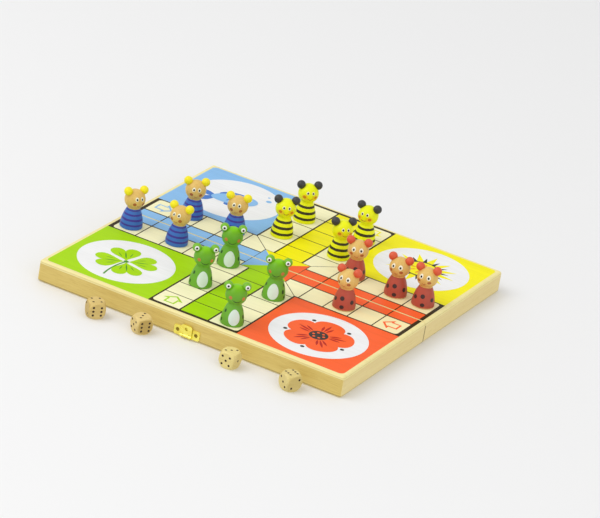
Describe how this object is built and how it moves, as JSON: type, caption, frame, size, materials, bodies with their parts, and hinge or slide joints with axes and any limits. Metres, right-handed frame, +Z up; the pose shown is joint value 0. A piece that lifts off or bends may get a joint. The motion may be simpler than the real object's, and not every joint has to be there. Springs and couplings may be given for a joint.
{
  "type": "folding ludo board box",
  "caption": "Wooden ludo board of hinged shallow trays that folds into a box with a brass clasp, with turned animal figures standing on it and dice beside it.",
  "frame": {"origin": "middle of the fold, in the plane of the trays' rims, where the hinge axis runs; the opened board's outer rims and playing face lie above it", "axes": "+X along the fold to the board's right, +Y towards the far tray, +Z up to the playing face; the clasp's hasp is on the -Y side"},
  "size_m": [0.3, 0.3346, 0.0581],
  "materials": {
    "ply": "birch ply, satin lacquer, printed on its outer face",
    "rail_wood": "pine, satin lacquer",
    "brass": "plated, bright",
    "figure_green": "turned wood, satin paint",
    "ball_green": "turned wood, satin paint",
    "figure_red": "turned wood, satin paint, natural head",
    "ball_red": "turned wood, satin paint",
    "figure_yellow": "turned wood, satin paint",
    "ball_yellow": "turned wood, satin paint",
    "figure_blue": "turned wood, satin paint, natural head",
    "ball_blue": "turned wood, satin paint",
    "die_wood": "clear lacquer, painted pips"
  },
  "bodies": {
    "front_tray": {"front_panel": "ply", "front_outer_rail": "rail_wood", "front_seam_rail": "rail_wood", "front_left_rail": "rail_wood", "front_right_rail": "rail_wood", "front_hinge_screws": "brass", "front_clasp_screws": "brass", "left_hinge_front_leaf": "brass", "right_hinge_front_leaf": "brass", "left_hinge_pin": "brass", "right_hinge_pin": "brass", "clasp_hasp_plate": "brass", "clasp_hasp_pin": "brass"},
    "far_tray": {"far_panel": "ply", "far_outer_rail": "rail_wood", "far_seam_rail": "rail_wood", "far_left_rail": "rail_wood", "far_right_rail": "rail_wood", "far_hinge_screws": "brass", "far_clasp_screws": "brass", "left_hinge_far_leaf": "brass", "right_hinge_far_leaf": "brass", "clasp_stud_plate": "brass"},
    "hasp": {"clasp_hasp": "brass"},
    "figure_green_1": {"figure_green_1": "figure_green", "figure_green_1_balls": "ball_green"},
    "figure_green_2": {"figure_green_2": "figure_green", "figure_green_2_balls": "ball_green"},
    "figure_green_3": {"figure_green_3": "figure_green", "figure_green_3_balls": "ball_green"},
    "figure_green_4": {"figure_green_4": "figure_green", "figure_green_4_balls": "ball_green"},
    "figure_red_1": {"figure_red_1": "figure_red", "figure_red_1_balls": "ball_red"},
    "figure_red_2": {"figure_red_2": "figure_red", "figure_red_2_balls": "ball_red"},
    "figure_red_3": {"figure_red_3": "figure_red", "figure_red_3_balls": "ball_red"},
    "figure_red_4": {"figure_red_4": "figure_red", "figure_red_4_balls": "ball_red"},
    "figure_yellow_1": {"figure_yellow_1": "figure_yellow", "figure_yellow_1_balls": "ball_yellow"},
    "figure_yellow_2": {"figure_yellow_2": "figure_yellow", "figure_yellow_2_balls": "ball_yellow"},
    "figure_yellow_3": {"figure_yellow_3": "figure_yellow", "figure_yellow_3_balls": "ball_yellow"},
    "figure_yellow_4": {"figure_yellow_4": "figure_yellow", "figure_yellow_4_balls": "ball_yellow"},
    "figure_blue_1": {"figure_blue_1": "figure_blue", "figure_blue_1_balls": "ball_blue"},
    "figure_blue_2": {"figure_blue_2": "figure_blue", "figure_blue_2_balls": "ball_blue"},
    "figure_blue_3": {"figure_blue_3": "figure_blue", "figure_blue_3_balls": "ball_blue"},
    "figure_blue_4": {"figure_blue_4": "figure_blue", "figure_blue_4_balls": "ball_blue"},
    "die_1": {"die_1": "die_wood"},
    "die_2": {"die_2": "die_wood"},
    "die_3": {"die_3": "die_wood"},
    "die_4": {"die_4": "die_wood"}
  },
  "joints": [
    {"name": "fold", "type": "hinge", "parent": "front_tray", "child": "far_tray", "pos_m": [0, 0, 0], "axis": [-1, 0, 0], "range_deg": [0, 180]},
    {"name": "hasp_swing", "type": "hinge", "parent": "front_tray", "child": "hasp", "pos_m": [0, -0.1516, 0.0016], "axis": [1, 0, 0], "range_deg": [0, 180]},
    {"name": "lift_figure_green_1", "type": "slide", "parent": "front_tray", "child": "figure_green_1", "axis": [0, 0, 1], "range_m": [0, 0.07]},
    {"name": "lift_figure_green_2", "type": "slide", "parent": "front_tray", "child": "figure_green_2", "axis": [0, 0, 1], "range_m": [0, 0.07]},
    {"name": "lift_figure_green_3", "type": "slide", "parent": "front_tray", "child": "figure_green_3", "axis": [0, 0, 1], "range_m": [0, 0.07]},
    {"name": "lift_figure_green_4", "type": "slide", "parent": "front_tray", "child": "figure_green_4", "axis": [0, 0, 1], "range_m": [0, 0.07]},
    {"name": "lift_figure_red_1", "type": "slide", "parent": "far_tray", "child": "figure_red_1", "axis": [0, 0, 1], "range_m": [0, 0.07]},
    {"name": "lift_figure_red_2", "type": "slide", "parent": "front_tray", "child": "figure_red_2", "axis": [0, 0, 1], "range_m": [0, 0.07]},
    {"name": "lift_figure_red_3", "type": "slide", "parent": "far_tray", "child": "figure_red_3", "axis": [0, 0, 1], "range_m": [0, 0.07]},
    {"name": "lift_figure_red_4", "type": "slide", "parent": "far_tray", "child": "figure_red_4", "axis": [0, 0, 1], "range_m": [0, 0.07]},
    {"name": "lift_figure_yellow_1", "type": "slide", "parent": "far_tray", "child": "figure_yellow_1", "axis": [0, 0, 1], "range_m": [0, 0.07]},
    {"name": "lift_figure_yellow_2", "type": "slide", "parent": "far_tray", "child": "figure_yellow_2", "axis": [0, 0, 1], "range_m": [0, 0.07]},
    {"name": "lift_figure_yellow_3", "type": "slide", "parent": "far_tray", "child": "figure_yellow_3", "axis": [0, 0, 1], "range_m": [0, 0.07]},
    {"name": "lift_figure_yellow_4", "type": "slide", "parent": "far_tray", "child": "figure_yellow_4", "axis": [0, 0, 1], "range_m": [0, 0.07]},
    {"name": "lift_figure_blue_1", "type": "slide", "parent": "front_tray", "child": "figure_blue_1", "axis": [0, 0, 1], "range_m": [0, 0.07]},
    {"name": "lift_figure_blue_2", "type": "slide", "parent": "far_tray", "child": "figure_blue_2", "axis": [0, 0, 1], "range_m": [0, 0.07]},
    {"name": "lift_figure_blue_3", "type": "slide", "parent": "front_tray", "child": "figure_blue_3", "axis": [0, 0, 1], "range_m": [0, 0.07]},
    {"name": "lift_figure_blue_4", "type": "slide", "parent": "far_tray", "child": "figure_blue_4", "axis": [0, 0, 1], "range_m": [0, 0.07]},
    {"name": "lift_die_1", "type": "slide", "parent": "front_tray", "child": "die_1", "axis": [0, 0, 1], "range_m": [0, 0.07]},
    {"name": "lift_die_2", "type": "slide", "parent": "front_tray", "child": "die_2", "axis": [0, 0, 1], "range_m": [0, 0.07]},
    {"name": "lift_die_3", "type": "slide", "parent": "front_tray", "child": "die_3", "axis": [0, 0, 1], "range_m": [0, 0.07]},
    {"name": "lift_die_4", "type": "slide", "parent": "front_tray", "child": "die_4", "axis": [0, 0, 1], "range_m": [0, 0.07]}
  ]
}
